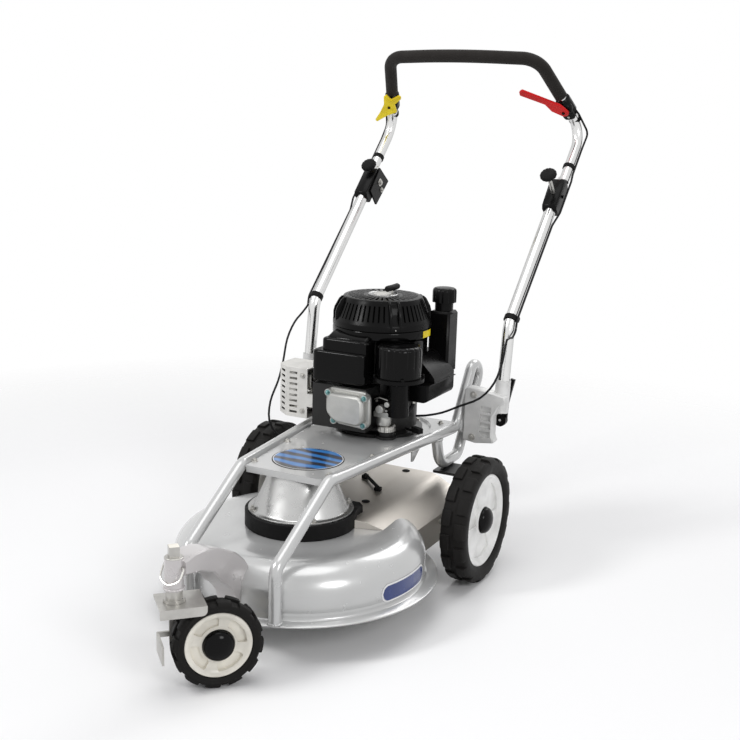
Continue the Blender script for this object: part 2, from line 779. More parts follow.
def rear_housing():
    """Folded steel cover behind the deck, open below, with the drive inside."""
    shell = solid("rear_housing", housing_block(0), steel(), mower)
    cut(shell, helper("housing_space", housing_block(HOUSING_SHEET), mower))
    cut(shell, deck_envelope("housing_deck_cut", GAP))
    bottom = DECK_SEAT_Z - 10 * MM
    collar = prism(collar_outline(COLLAR_R + 1 * MM, COLLAR_TAIL_X + 1 * MM,
                                  COLLAR_TAIL_Y + 1 * MM), bottom, bottom + 80 * MM)
    cut(shell, helper("housing_collar_cut", collar, mower))
    axle = turned(disc(AXLE_R + 2 * MM, -HOUSING_SIDE_X - 10 * MM, HOUSING_SIDE_X + 10 * MM, 16), "X")
    cut(shell, helper("housing_axle_cut", moved(axle, (0, 0, REAR_WHEEL_R)), mower))


# Frame and engine plate

def hoop_points():
    """Corner points of one hoop in its own plane, as (y, z)."""
    lean = Vector((math.sin(HOOP_LEAN), math.cos(HOOP_LEAN)))
    across = Vector((math.cos(HOOP_LEAN), -math.sin(HOOP_LEAN)))
    centre = Vector(HOOP_TOP)
    front_top = centre - across * HOOP_BEND + lean * HOOP_BEND
    rear_top = centre + across * HOOP_BEND + lean * HOOP_BEND
    front_foot = front_top - lean * ((front_top.y - RAIL_Z) / lean.y)
    rear_foot = rear_top - lean * ((rear_top.y - HOOP_FLOOR_Z) / lean.y)
    return front_foot, front_top, rear_top, rear_foot


def rail_x(y):
    """Centre line of a rail: it spreads outward toward the rear."""
    front_foot = hoop_points()[0]
    share = (y - RAIL_FRONT[1]) / (front_foot.x - RAIL_FRONT[1])
    return RAIL_FRONT[0] + (HOOP_X - RAIL_FRONT[0]) * share


def side_frame(name, side):
    """One bent tube: foot, rail, hoop and the loop under it, with its welded plates."""
    front_foot, front_top, rear_top, rear_foot = hoop_points()
    foot_r = DECK_WALL_R + FRAME_TUBE_R + 4 * MM
    foot_y = DECK_Y - math.sqrt(foot_r ** 2 - FRAME_FOOT_X ** 2)
    loop_y = HOOP_FRONT_LEG_Y
    corners = [
        (FRAME_FOOT_X, foot_y, DECK_FLANGE_Z + DECK_FLANGE_T + GAP),
        (FRAME_FOOT_X, foot_y, FRAME_BEND_Z),
        (RAIL_FRONT[0], RAIL_FRONT[1], RAIL_Z),
        (HOOP_X, front_foot.x, RAIL_Z),
        (HOOP_X, front_top.x, front_top.y),
        (HOOP_X, rear_top.x, rear_top.y),
        (HOOP_X, rear_foot.x, rear_foot.y),
        (HOOP_X, loop_y, HOOP_FLOOR_Z),
        (rail_x(loop_y), loop_y, RAIL_Z - FRAME_TUBE_R - GAP),
    ]
    corners = [(x * side, y, z) for x, y, z in corners]
    bends = [30 * MM, 40 * MM, 34 * MM, HOOP_BEND * 0.98, HOOP_BEND * 0.98, 32 * MM, 30 * MM]
    frame = solid(name, sweep(rounded_path(corners, bends), FRAME_TUBE_R), paint_silver(),
                  mower)
    outline = [(112 * MM, 296 * MM), (184 * MM, 296 * MM), (222 * MM, 372 * MM),
               (196 * MM, 392 * MM), (160 * MM, 384 * MM)]
    inner = side * (HOOP_X + 6 * MM)
    outer = side * (HOOP_X + FRAME_TUBE_R + 3.5 * MM)
    bracket_plate = helper(f"{name}_pivot_plate", prism(outline, min(inner, outer),
                                                        max(inner, outer), "YZ"), mower)
    join(frame, bracket_plate)
    hole = turned(disc(CAM_SHAFT_R + RUNNING, -60 * MM, 60 * MM, 16), "X")
    hole = moved(hole, (side * HOOP_X, HANDLE_PIVOT[0], HANDLE_PIVOT[1]))
    cut(frame, helper(f"{name}_shaft_hole", hole, mower))
    return frame


def axle_bracket(name, side):
    """Black bracket from the loop of a hoop down past the housing to the rear axle."""
    top = HOOP_FLOOR_Z - FRAME_TUBE_R - GAP
    outer = AXLE_PLATE_X + AXLE_PLATE_T
    x = sorted((side * (HOOP_X - 14 * MM), side * outer))
    pad = box(x, (30 * MM, 104 * MM), (top - 6 * MM, top))
    bracket = solid(name, pad, black_plastic(), mower)
    x = sorted((side * AXLE_PLATE_X, side * outer))
    outline = [(30 * MM, top), (104 * MM, top), (104 * MM, top - 40 * MM), (26 * MM, 122 * MM)]
    outline += arc((0, REAR_WHEEL_R), 24 * MM, -40, -180, 5)
    outline.append((-24 * MM, 158 * MM))
    web = helper(f"{name}_web", prism(outline, x[0], x[1], "YZ"), mower)
    join(bracket, web)
    bore = turned(disc(AXLE_R + GAP, -20 * MM, 20 * MM, 16), "X")
    bore = moved(bore, (side * AXLE_PLATE_X, 0, REAR_WHEEL_R))
    cut(bracket, helper(f"{name}_bore", bore, mower))


def engine_plate():
    """Sheet between the rails with a front lip and a round dish for the engine."""
    front = RAIL_FRONT[1] - 6 * MM
    low = RAIL_Z - PLATE_T / 2
    top = RAIL_Z + PLATE_T / 2
    inset = FRAME_TUBE_R + GAP
    loop = hoop_points()[0].x - 34 * MM

    def edge(y):
        return rail_x(y) - inset

    outline = [(-edge(front), front), (edge(front), front), (edge(loop), loop),
               (edge(loop) - 8 * MM, PLATE_REAR_Y), (-edge(loop) + 8 * MM, PLATE_REAR_Y),
               (-edge(loop), loop)]
    plate = solid("engine_plate", prism(outline, low, top), paint_silver(), mower)
    lip_x = edge(front) - 2 * MM
    lip = helper("plate_lip", box((-lip_x, lip_x), (front, front + PLATE_T),
                                  (top - PLATE_LIP, top - 1 * MM)), mower)
    join(plate, lip)
    pan = helper("plate_pan", revolve([(0, low - DISH_DEPTH), (DISH_R - 2 * MM, low - DISH_DEPTH),
                                       (DISH_R + 4 * MM, low + 1 * MM), (0, low + 1 * MM)],
                                      ROUND, (0, ENGINE_Y)), mower)
    join(plate, pan)
    dish = helper("plate_dish", revolve([(0, top - DISH_DEPTH), (DISH_R - 6 * MM, top - DISH_DEPTH),
                                         (DISH_R, top + 2 * MM), (0, top + 2 * MM)],
                                        ROUND, (0, ENGINE_Y)), mower)
    cut(plate, dish)
    hole = helper("plate_crank_hole", disc(CRANK_R + 12 * MM, low - 30 * MM, top + 20 * MM, 24,
                                           (0, ENGINE_Y)), mower)
    cut(plate, hole)


def dish_floor():
    return RAIL_Z + PLATE_T / 2 - DISH_DEPTH


# Caster

def caster_arm():
    """Gooseneck arm from the deck to the swivel tube, arched over the swinging wheel."""
    axle_z = FRONT_WHEEL_R
    reach = FRONT_WHEEL_R + WHEEL_CLEARANCE
    wheel_y = CASTER_Y + CASTER_TRAIL
    under = [(ARM_TOP[-1][0], axle_z + 5 * MM)]
    under += arc((wheel_y, axle_z), reach, 4, 62, 6)
    under += [(CASTER_Y + 91 * MM, PIVOT_TUBE_Z + 2 * MM), (CASTER_Y + 48 * MM, PIVOT_TUBE_Z + 19 * MM),
              (CASTER_Y, PIVOT_TUBE_Z + 28 * MM)]
    half = ARM_WIDTH / 2
    arm = solid("caster_arm", prism(ARM_TOP + under, -half, half, "YZ"), paint_silver(), mower)
    soften(arm, 3 * MM)
    shape = disc(PIVOT_TUBE_R, PIVOT_TUBE_Z, PIVOT_TUBE_TOP, 24)
    bmesh.ops.rotate(shape, verts=shape.verts, matrix=Matrix.Rotation(math.pi / 24, 3, "Z"))
    tube = helper("pivot_tube", moved(shape, (0, CASTER_Y, 0)), mower)
    nose = helper("arm_nose_cut", box((-60 * MM, 60 * MM), (CASTER_Y - 60 * MM, CASTER_Y + 4 * MM),
                                      (PIVOT_TUBE_Z - 30 * MM, PIVOT_TUBE_TOP + 30 * MM)), mower)
    cut(arm, deck_envelope("arm_deck_cut", GAP))
    cut(arm, nose)
    join(arm, tube)
    cut(arm, helper("pivot_bore", disc(STEM_R + RUNNING, PIVOT_TUBE_Z - 20 * MM,
                                       PIVOT_TUBE_TOP + 20 * MM, 24, (0, CASTER_Y)), mower))
    for side in (-1, 1):
        x = sorted((side * 8 * MM, side * 34 * MM))
        hole = turned(disc(BAIL_WIRE_R + RUNNING, x[0], x[1], 8), "X")
        cut(arm, helper(f"bail_hole_{side + 1}", moved(hole, (0, CASTER_Y, BAIL_Z)), mower))


def lock_bail(swing):
    """Wire bail that hangs on the swivel tube and holds its locking pin."""
    side = PIVOT_TUBE_R + 5 * MM
    inner = STEM_R + RUNNING + 3 * MM
    drop = 30 * MM
    lead = -PIVOT_TUBE_R - 5 * MM
    path = [(-inner, 0, 0), (-side, 0, 0), (-side, lead * 0.6, -drop * 0.7), (0, lead, -drop),
            (side, lead * 0.6, -drop * 0.7), (side, 0, 0), (inner, 0, 0)]
    bends = [4 * MM, 14 * MM, 18 * MM, 14 * MM, 4 * MM]
    solid("lock_bail", sweep(rounded_path(path, bends, 3), BAIL_WIRE_R, 6), steel(), swing)


def caster_stem(swivel):
    """Turning stem: head under the plate, shoulder below the tube, square above it."""
    plate_top = FORK_TOP_Z
    plate_low = plate_top - FORK_PLATE_T
    r = STEM_R
    half = STEM_SQUARE / 2
    profile = [
        (0, plate_low - 8 * MM), (17 * MM, plate_low - 8 * MM), (17 * MM, plate_low - GAP),
        (r, plate_low - GAP), (r, plate_top + GAP), (r + 8 * MM, plate_top + GAP),
        (r + 8 * MM, plate_top + 6 * MM), (r + 3 * MM, plate_top + 6 * MM),
        (r + 3 * MM, PIVOT_TUBE_Z - GAP), (r, PIVOT_TUBE_Z - GAP), (r, PIVOT_TUBE_TOP - 1 * MM),
        (half - 1 * MM, PIVOT_TUBE_TOP - 1 * MM), (half - 1 * MM, STEM_TOP - 6 * MM),
        (0, STEM_TOP - 6 * MM),
    ]
    stem = solid("caster_stem", revolve(profile, 16), steel(), swivel)
    square = box((-half, half), (-half, half), (PIVOT_TUBE_TOP + GAP, STEM_TOP))
    join(stem, helper("stem_square", square, swivel))


def caster_fork(swivel, web):
    """Pressed plate over the wheel with a down-turned lip, one leg to the axle and a scraper."""
    top = FORK_TOP_Z
    low = top - FORK_PLATE_T
    wide = FORK_HALF_WIDTH
    thick = FORK_PLATE_T
    plate = box((-wide, wide), (-FORK_LEAD, FORK_TAIL), (low, top))
    fork = solid("caster_fork", plate, steel(), swivel)
    lip_outline = [(-FORK_LEAD, top - 1 * MM), (FORK_TAIL, top - 1 * MM), (FORK_TAIL, low - 2 * MM)]
    corner = FORK_LIP - 4 * MM
    lip_outline += arc((FORK_TAIL - corner, low - 4 * MM), corner, 0, -90, 4)
    lip_outline.append((-FORK_LEAD, low - FORK_LIP))
    lip = helper("fork_lip", prism(lip_outline, wide - thick, wide, "YZ"), swivel)
    join(fork, lip)
    axle_z = FRONT_WHEEL_R
    leg_outline = [(-4 * MM, top - 1 * MM), (FORK_TAIL, top - 1 * MM),
                   (CASTER_TRAIL + 16 * MM, axle_z + 18 * MM)]
    leg_outline += arc((CASTER_TRAIL, axle_z), 20 * MM, 20, -100, 5)
    leg_outline += [(14 * MM, axle_z - 22 * MM), (-4 * MM, axle_z - 12 * MM)]
    leg = helper("fork_leg", prism(leg_outline, -wide, -wide + thick, "YZ"), swivel)
    join(fork, leg)
    arm = box((-wide + 1 * MM, -wide + thick), (-26 * MM, 4 * MM), (axle_z + 5 * MM, axle_z + 15 * MM))
    join(fork, helper("scraper_arm", arm, swivel))
    scraper = box((-wide + 1.5 * MM, FRONT_TYRE_WIDTH / 2 + 5 * MM), (-27 * MM, -23 * MM),
                  (axle_z - 21 * MM, axle_z + 14 * MM))
    join(fork, helper("fork_scraper", scraper, swivel))
    cut(fork, helper("fork_stem_hole", disc(STEM_R + GAP, low - 5 * MM, top + 5 * MM, 24), swivel))
    join(fork, front_axle(swivel, web))


def front_axle(swivel, web):
    """Shouldered axle bolt, held fast in the fork: head outside the leg, shaft through the hub."""
    wide = FORK_HALF_WIDTH
    profile = [
        (0, -wide - 8 * MM), (13 * MM, -wide - 8 * MM), (13 * MM, -wide + 1 * MM),
        (12 * MM, -wide + 1 * MM), (12 * MM, -FRONT_TYRE_WIDTH / 2 - 1 * MM),
        (AXLE_R, -FRONT_TYRE_WIDTH / 2 - 1 * MM), (AXLE_R, web + 1 * MM), (0, web + 1 * MM),
    ]
    bm = moved(turned(revolve(profile, 16), "X"), (0, CASTER_TRAIL, FRONT_WHEEL_R))
    return helper("front_axle", bm, swivel)


# Drive

def transaxle(web):
    """Split gear case on the rear axle, with a spacer collar between each bracket and its wheel."""
    end = REAR_TRACK_X + web + 1 * MM
    near = AXLE_PLATE_X + AXLE_PLATE_T + 1 * MM
    far = REAR_TRACK_X - REAR_TYRE_WIDTH / 2 - 1 * MM
    half = [(AXLE_R, near), (14 * MM, near), (14 * MM, far), (AXLE_R, far), (AXLE_R, end), (0, end)]
    other = [(r, -x) for r, x in reversed(half)]
    bar = moved(turned(revolve(other + half, 16), "X"), (0, 0, REAR_WHEEL_R))
    axle = solid("transaxle", bar, steel(), mower)
    outline = arc((0, REAR_WHEEL_R), 34 * MM, 90, 270, 6)
    outline += [(46 * MM, REAR_WHEEL_R - 34 * MM), (60 * MM, REAR_WHEEL_R - 22 * MM),
                (60 * MM, REAR_WHEEL_R + 18 * MM), (46 * MM, REAR_WHEEL_R + 34 * MM)]
    case = helper("gear_case", prism(outline, -44 * MM, 44 * MM, "YZ"), mower)
    soften(case, 4 * MM)
    join(axle, case)
    flange = prism([(y * 1.12, REAR_WHEEL_R + (z - REAR_WHEEL_R) * 1.12) for y, z in outline],
                   -3 * MM, 3 * MM, "YZ")
    join(axle, helper("gear_case_flange", flange, mower))


def pulley_profile(shaft_top, shaft_bottom, shaft_r):
    """A flanged pulley and its shaft; the groove takes the belt."""
    z = PULLEY_Z
    half = PULLEY_HALF_WIDTH
    groove = BELT_HALF_WIDTH + 1 * MM
    floor = PULLEY_R - BELT_THICKNESS - 1 * MM
    points = [(0, shaft_bottom), (shaft_r, shaft_bottom)]
    if shaft_bottom < z - half:
        points.append((shaft_r, z - half))
    points += [(PULLEY_R, z - half), (PULLEY_R, z - groove), (floor, z - groove),
               (floor, z + groove), (PULLEY_R, z + groove), (PULLEY_R, z + half)]
    if shaft_top > z + half:
        points.append((shaft_r, z + half))
    points += [(shaft_r, shaft_top), (0, shaft_top)]
    return points


def engine_pulley(spin):
    top = dish_floor() + 60 * MM
    bottom = PULLEY_Z - PULLEY_HALF_WIDTH - 6 * MM
    solid("engine_pulley", revolve(pulley_profile(top, bottom, CRANK_R), SMALL_ROUND), steel(), spin)


def blade_spindle(spin):
    """Spindle shaft with its pulley on top and the blade's seat and bolt below."""
    blade_top = BLADE_Z + BLADE_T
    upper = pulley_profile(PULLEY_Z + PULLEY_HALF_WIDTH + 6 * MM, PULLEY_Z - 100 * MM, STEM_R)[2:]
    profile = [(0, BLADE_Z - 9 * MM), (15 * MM, BLADE_Z - 9 * MM), (15 * MM, BLADE_Z - GAP),
               (STEM_R, BLADE_Z - GAP), (STEM_R, blade_top + GAP), (30 * MM, blade_top + GAP),
               (30 * MM, blade_top + 7 * MM), (STEM_R, blade_top + 10 * MM)]
    solid("blade_spindle", revolve(profile + upper, SMALL_ROUND), steel(), spin)


def blade(spin):
    """Mulching blade: a bar with ground edges and raised wings behind them."""
    half = BLADE_LENGTH / 2
    wide = BLADE_WIDTH / 2
    ground = 118 * MM
    outline = [(-half, -wide), (-ground, -wide), (ground, -wide + 4 * MM), (half, -wide + 4 * MM),
               (half, wide), (ground, wide), (-ground, wide - 4 * MM), (-half, wide - 4 * MM)]
    bar = solid("blade", prism(outline, BLADE_Z, BLADE_Z + BLADE_T), steel(), spin)
    for side in (-1, 1):
        x = sorted((side * (half - 64 * MM), side * half))
        wing_outline = [(side * (wide - 10 * MM), BLADE_Z + 1 * MM),
                        (side * (wide - 1 * MM), BLADE_Z + 1 * MM),
                        (side * (wide + 6 * MM), BLADE_Z + 20 * MM),
                        (side * (wide + 3 * MM), BLADE_Z + 21 * MM)]
        wing = prism(wing_outline, x[0], x[1], "YZ")
        join(bar, helper(f"blade_wing_{side + 1}", wing, spin))
    cut(bar, helper("blade_bore", disc(STEM_R + GAP, BLADE_Z - 9 * MM, BLADE_Z + 20 * MM, 24), spin))


def drive_belt():
    """Belt loop round the two pulleys."""
    inner_r = PULLEY_R - BELT_THICKNESS - 1 * MM + 4 * GAP
    outer_r = inner_r + BELT_THICKNESS

    def loop(radius):
        return (arc((0, ENGINE_Y), radius, 0, 180, 12) + arc((0, DECK_Y), radius, 180, 360, 12))

    bm = bmesh.new()
    rings = []
    for radius, z in ((inner_r, -1), (outer_r, -1), (outer_r, 1), (inner_r, 1)):
        height = PULLEY_Z + z * BELT_HALF_WIDTH
        rings.append([bm.verts.new((x, y, height)) for x, y in loop(radius)])
    for low, high in zip(rings, rings[1:] + rings[:1]):
        for index in range(len(low)):
            after = (index + 1) % len(low)
            bm.faces.new((low[index], low[after], high[after], high[index]))
    solid("drive_belt", bm, tyre_rubber(), mower)


# Engine

def engine_block(engine):
    """Crankcase, finned cylinder and oil filler as one casting."""
    foot = GAP
    profile = [(0, foot), (CRANKCASE_FOOT_R, foot), (CRANKCASE_FOOT_R, 8 * MM),
               (CRANKCASE_R, 13 * MM), (CRANKCASE_R, CRANKCASE_TOP), (0, CRANKCASE_TOP)]
    case = solid("engine_block", revolve(profile, ROUND), cast_alloy(), engine)
    bore = helper("crank_bore", disc(CRANK_R + RUNNING, -20 * MM, 61 * MM, 24), engine)
    join(case, cylinder_block(engine))
    join(case, oil_filler(engine))
    cut(case, bore)


def cylinder_block(engine):
    """Finned cylinder lying toward the front, drawn as a comb and extruded upward."""
    left, right = BLOCK_X
    back = -CRANKCASE_R + 12 * MM
    front = BLOCK_FRONT
    pitch = (back - front) / (FIN_COUNT - 0.5)
    outline = [(right, back), (right, front), (left, front)]
    y = front
    for index in range(FIN_COUNT):
        outline.append((left, y + pitch * 0.5))
        if index == FIN_COUNT - 1:
            break
        outline.append((left + FIN_DEPTH, y + pitch * 0.5))
        outline.append((left + FIN_DEPTH, y + pitch))
        outline.append((left, y + pitch))
        y += pitch
    return helper("cylinder_block", prism(outline, BLOCK_Z[0], BLOCK_Z[1]), engine)


def valve_cover(engine):
    """Cast rocker cover with a raised panel and four bolt bosses."""
    back = BLOCK_FRONT - GAP
    rim = back - 12 * MM
    front = back - VALVE_COVER_DEPTH
    outline = [(-54 * MM, 66 * MM), (-54 * MM, 106 * MM), (-42 * MM, 121 * MM), (40 * MM, 119 * MM),
               (53 * MM, 106 * MM), (53 * MM, 48 * MM), (40 * MM, 36 * MM), (-22 * MM, 40 * MM),
               (-38 * MM, 48 * MM)]
    cover = solid("valve_cover", prism(outline, rim, back, "XZ"), cast_alloy(), engine)
    soften(cover, 2 * MM)
    panel_outline = [(-3 * MM + (x + 3 * MM) * 0.84, 80 * MM + (z - 80 * MM) * 0.80)
                     for x, z in outline]
    panel = helper("valve_cover_panel", prism(panel_outline, front, rim + 4 * MM, "XZ"), engine)
    soften(panel, 5 * MM)
    join(cover, panel)
    for index, (x, z) in enumerate(((-45, 110), (44, 108), (43, 47), (-30, 49))):
        boss = moved(turned(disc(8 * MM, -22 * MM, -4 * MM, 12), "Y"), (x * MM, 0, z * MM))
        boss = moved(boss, (0, back, 0))
        join(cover, helper(f"valve_boss_{index}", boss, engine))


def engine_shroud(engine):
    """Blower housing: a drum round the flywheel and stepped duct over the cylinder."""
    low, high = SHROUD_Z
    profile = [(0, low), (SHROUD_WAIST_R, low), (SHROUD_WAIST_R, high - 24 * MM),
               (SHROUD_R, high - 20 * MM), (SHROUD_R, high - 3 * MM), (SHROUD_R - 3 * MM, high),
               (0, high)]
    shroud = solid("engine_shroud", revolve(profile, ROUND), gloss_black(), engine)
    steps = (
        ((-98 * MM, 34 * MM), (-150 * MM, -30 * MM), (low, low + 70 * MM)),
        ((-80 * MM, 36 * MM), (-140 * MM, -20 * MM), (low + 40 * MM, low + 97 * MM)),
    )
    for index, (x, y, z) in enumerate(steps):
        duct = helper(f"shroud_duct_{index}", box(x, y, z), engine)
        soften(duct, 7 * MM, 2)
        join(shroud, duct)
    roof_outline = [(-132 * MM, low + 94 * MM), (-100 * MM, high - 7 * MM), (-20 * MM, high - 6 * MM),
                    (-20 * MM, low + 70 * MM), (-132 * MM, low + 70 * MM)]
    roof = helper("shroud_roof", prism(roof_outline, -72 * MM, 28 * MM, "YZ"), engine)
    join(shroud, roof)
    clear = helper("shroud_filter_cut", disc(FILTER_FLANGE_R + 1 * MM, low - 20 * MM,
                                             FILTER_Z[1] + 4 * MM, ROUND, FILTER_CENTRE), engine)
    cut(shroud, clear)


def recoil_cover(engine):
    """Starter cover: a vented crown with six bolt lugs and a guide for the rope."""
    low = SHROUD_Z[1] + GAP
    high = low + COVER_HEIGHT
    r = SHROUD_R
    crown = COVER_CROWN_R
    profile = [
        (r, low), (r, low + 12 * MM), (r - 3 * MM, low + 16 * MM), (crown + 3 * MM, high - 7 * MM),
        (crown, high - 1.5 * MM), (30 * MM, high), (0, high), (0, high - 4 * MM),
        (crown - 4 * MM, high - 5 * MM), (crown - 2 * MM, high - 9 * MM), (r - 8 * MM, low + 16 * MM),
        (r - 6 * MM, low + 10 * MM), (r - 6 * MM, low),
    ]
    cover = solid("recoil_cover", revolve(profile, ROUND), black_plastic(), engine)
    slots = []
    for index in range(COVER_GRILLE_SLOTS):
        if index % 5 == 0:
            continue
        slot = box((crown - 8 * MM, r + 6 * MM), (-4 * MM, 4 * MM), (low + 22 * MM, high - 14 * MM))
        turn = Matrix.Rotation(2 * math.pi * index / COVER_GRILLE_SLOTS, 3, "Z")
        bmesh.ops.rotate(slot, verts=slot.verts, matrix=turn)
        slots.append(slot)
    cut(cover, helper("cover_slots", gathered(slots), engine))
    for index in range(4):
        angle = math.radians(90 * index + COVER_LUG_ANGLE)
        centre = ((r - 9.5 * MM) * math.cos(angle), (r - 9.5 * MM) * math.sin(angle))
        lug = helper(f"cover_lug_{index}", disc(9 * MM, low, low + 44 * MM, 8, centre), engine)
        join(cover, lug)
    guide = GRIP_CENTRE
    boss = helper("rope_guide", disc(9 * MM, high - 3 * MM, high + 5 * MM, 16, guide), engine)
    join(cover, boss)
    hole = helper("rope_hole", disc(ROPE_R + 1 * MM, high - 30 * MM, high + 20 * MM, 12, guide),
                  engine)
    cut(cover, hole)


def starter_grip(pull):
    """Pull grip lying along Y over the rope guide."""
    half = GRIP_LENGTH / 2
    profile = [(0, -half), (5 * MM, -half + 1 * MM), (7 * MM, -half + 6 * MM), (6.5 * MM, 0),
               (7 * MM, half - 6 * MM), (5 * MM, half - 1 * MM), (0, half)]
    solid("starter_grip", turned(revolve(profile, 14), "Y"), black_plastic(), pull)


def starter_rope(engine):
    """The rope between the guide and the grip; it is paid out as the grip is pulled."""
    low = SHROUD_Z[1] + GAP + COVER_HEIGHT - 8 * MM
    high = SHROUD_Z[1] + COVER_HEIGHT + GRIP_LIFT - 6.5 * MM - GAP
    solid("starter_rope", disc(ROPE_R, low, high, 10, GRIP_CENTRE), rim_plastic(), engine)


def air_filter(engine):
    """Filter cover with a fluted crown, on a flanged base with its intake neck."""
    low, high = FILTER_Z
    r = FILTER_R
    cover = solid("air_filter_cover", revolve([(0, low), (r, low), (r, high - 6 * MM),
                                               (r - 6 * MM, high), (0, high)], ROUND,
                                              FILTER_CENTRE), gloss_black(), engine)
    flutes = []
    for index in range(FILTER_FLUTES):
        angle = 2 * math.pi * index / FILTER_FLUTES
        centre = (FILTER_CENTRE[0] + (r + 1.5 * MM) * math.cos(angle),
                  FILTER_CENTRE[1] + (r + 1.5 * MM) * math.sin(angle))
        flutes.append(disc(4 * MM, high - 24 * MM, high + 10 * MM, 8, centre))
    cut(cover, helper("filter_flutes", gathered(flutes), engine))
    flange = FILTER_FLANGE_R
    top = low - GAP
    neck = FILTER_NECK_R
    profile = [(0, 62 * MM), (neck, 62 * MM), (neck, top - 18 * MM), (neck + 8 * MM, top - 8 * MM),
               (flange, top - 8 * MM), (flange, top), (0, top)]
    base = solid("air_filter_base", revolve(profile, ROUND, FILTER_CENTRE), black_plastic(), engine)
    join(base, carburettor(engine))


def carburettor(engine):
    """Carburettor body between the cylinder and the intake neck, with its bowl."""
    right = FILTER_CENTRE[0] - 4 * MM
    left = BLOCK_X[1] + GAP
    y = FILTER_CENTRE[1]
    return helper("carburettor", box((left, right), (y - 16 * MM, y + 8 * MM), (66 * MM, 98 * MM)),
                  engine)


def fuel_tank(engine):
    """Blow-moulded tank beside the engine with a tall filler box and neck."""
    front, back = TANK_Y
    x = TANK_X
    bottom = TANK_Z
    profile = [(58 * MM, bottom + 6 * MM), (70 * MM, bottom), (x - 8 * MM, bottom), (x, bottom + 8 * MM),
               (x, bottom + 50 * MM), (x - 8 * MM, bottom + 60 * MM), (x - 44 * MM, bottom + 96 * MM),
               (58 * MM, bottom + 96 * MM)]
    tank = solid("fuel_tank", prism(profile, front, back, "XZ"), black_plastic(), engine)
    soften(tank, 4 * MM)
    low_front = helper("tank_front_cut", box((-10 * MM, 200 * MM), (-120 * MM, FILTER_CENTRE[1] + 62 * MM),
                                             (FILTER_Z[0] - 22 * MM, 300 * MM)), engine)
    cut(tank, low_front)
    cut(tank, helper("tank_neck_cut", disc(FILTER_NECK_R + 3 * MM, 0, 140 * MM, 24, FILTER_CENTRE),
                     engine))
    half = 26 * MM
    centre = FILLER_BOX
    filler = helper("filler_box", box((centre[0] - half, centre[0] + half - 0.5 * MM),
                                      (centre[1] - half, centre[1] + half), (bottom + 40 * MM, 272 * MM)),
                    engine)
    soften(filler, 5 * MM)
    join(tank, filler)
    join(tank, helper("filler_neck", disc(NECK_R, 266 * MM, 291 * MM, 20, centre), engine))
    inner = SHROUD_WAIST_R + GAP
    outer = SHROUD_R + GAP
    drum = revolve([(0, 40 * MM), (inner, 40 * MM), (inner, SHROUD_Z[1] - 27 * MM),
                    (outer, SHROUD_Z[1] - 22 * MM), (outer, 320 * MM), (0, 320 * MM)])
    cut(tank, helper("tank_drum_cut", drum, engine))


def fuel_cap(turn):
    """Fluted filler cap over the neck."""
    count = 18
    outline = []
    for index in range(2 * count):
        angle = 2 * math.pi * index / (2 * count)
        r = CAP_R if index % 2 else CAP_R - 2 * MM
        outline.append((r * math.cos(angle), r * math.sin(angle)))
    cap = solid("fuel_cap", prism(outline, GAP, 33 * MM), black_plastic(), turn)
    soften(cap, 1.5 * MM, 1, 60)


def muffler(engine):
    """Silencer can beside the cylinder with its exhaust stub."""
    x = (GUARD_X[0] + 12 * MM, GUARD_X[1] - 4 * MM)
    can = solid("muffler", box(x, (GUARD_FRONT + 26 * MM, -62 * MM), (GUARD_Z[0] + 12 * MM,
                                                                     GUARD_Z[1] - 16 * MM)),
                steel(), engine)
    soften(can, 8 * MM, 2)
    stub = turned(disc(13 * MM, GUARD_X[1] - 20 * MM, BLOCK_X[0] - GAP, 16), "X")
    join(can, helper("exhaust_stub", moved(stub, (0, BLOCK_FRONT + 44 * MM, 84 * MM)), engine))


def guard_block(sheet):
    left, right = GUARD_X
    front = GUARD_FRONT
    outline = [(right + (10 * MM if sheet else 0), front + sheet), (left + 32 * MM, front + sheet),
               (left + sheet, front + 26 * MM), (left + sheet, -46 * MM - sheet),
               (right + (10 * MM if sheet else 0), -46 * MM - sheet)]
    return prism(outline, GUARD_Z[0] + sheet, GUARD_Z[1] - sheet)


def muffler_guard(engine):
    """Pressed heat guard with rows of slots on its front and its slanted corner."""
    guard = solid("muffler_guard", guard_block(0), cast_alloy(), engine)
    cut(guard, helper("guard_space", guard_block(2 * MM), engine))
    left, right = GUARD_X
    pitch = (GUARD_Z[1] - GUARD_Z[0] - 24 * MM) / (GUARD_ROWS - 1)
    slots = []
    for row in range(GUARD_ROWS):
        z = GUARD_Z[0] + 12 * MM + pitch * row
        front = box((left + 40 * MM, left + 60 * MM), (GUARD_FRONT - 8 * MM, GUARD_FRONT + 8 * MM),
                    (z - 2.6 * MM, z + 2.6 * MM))
        corner = box((-11 * MM, 11 * MM), (-8 * MM, 8 * MM), (z - 2.6 * MM, z + 2.6 * MM))
        bmesh.ops.rotate(corner, verts=corner.verts, matrix=Matrix.Rotation(math.radians(-39), 3, "Z"))
        moved(corner, (left + 16 * MM, GUARD_FRONT + 13 * MM, 0))
        slots += [front, corner]
    cut(guard, helper("guard_slots", gathered(slots), engine))
    tab = box((right - 4 * MM, BLOCK_X[0] - GAP), (GUARD_FRONT, GUARD_FRONT + 8 * MM),
              (GUARD_Z[0] + 28 * MM, GUARD_Z[0] + 58 * MM))
    join(guard, helper("guard_tab", tab, engine))


def oil_filler(engine):
    """Oil filler with its cap, standing on a toe of the crankcase foot."""
    profile = [(0, 7 * MM), (24 * MM, 7 * MM), (24 * MM, 12 * MM), (17 * MM, 13 * MM),
               (17 * MM, 20 * MM), (20 * MM, 22 * MM), (20 * MM, 34 * MM), (17 * MM, 37 * MM),
               (0, 37 * MM)]
    return helper("oil_filler", revolve(profile, SMALL_ROUND, OIL_FILLER), engine)


# Handle

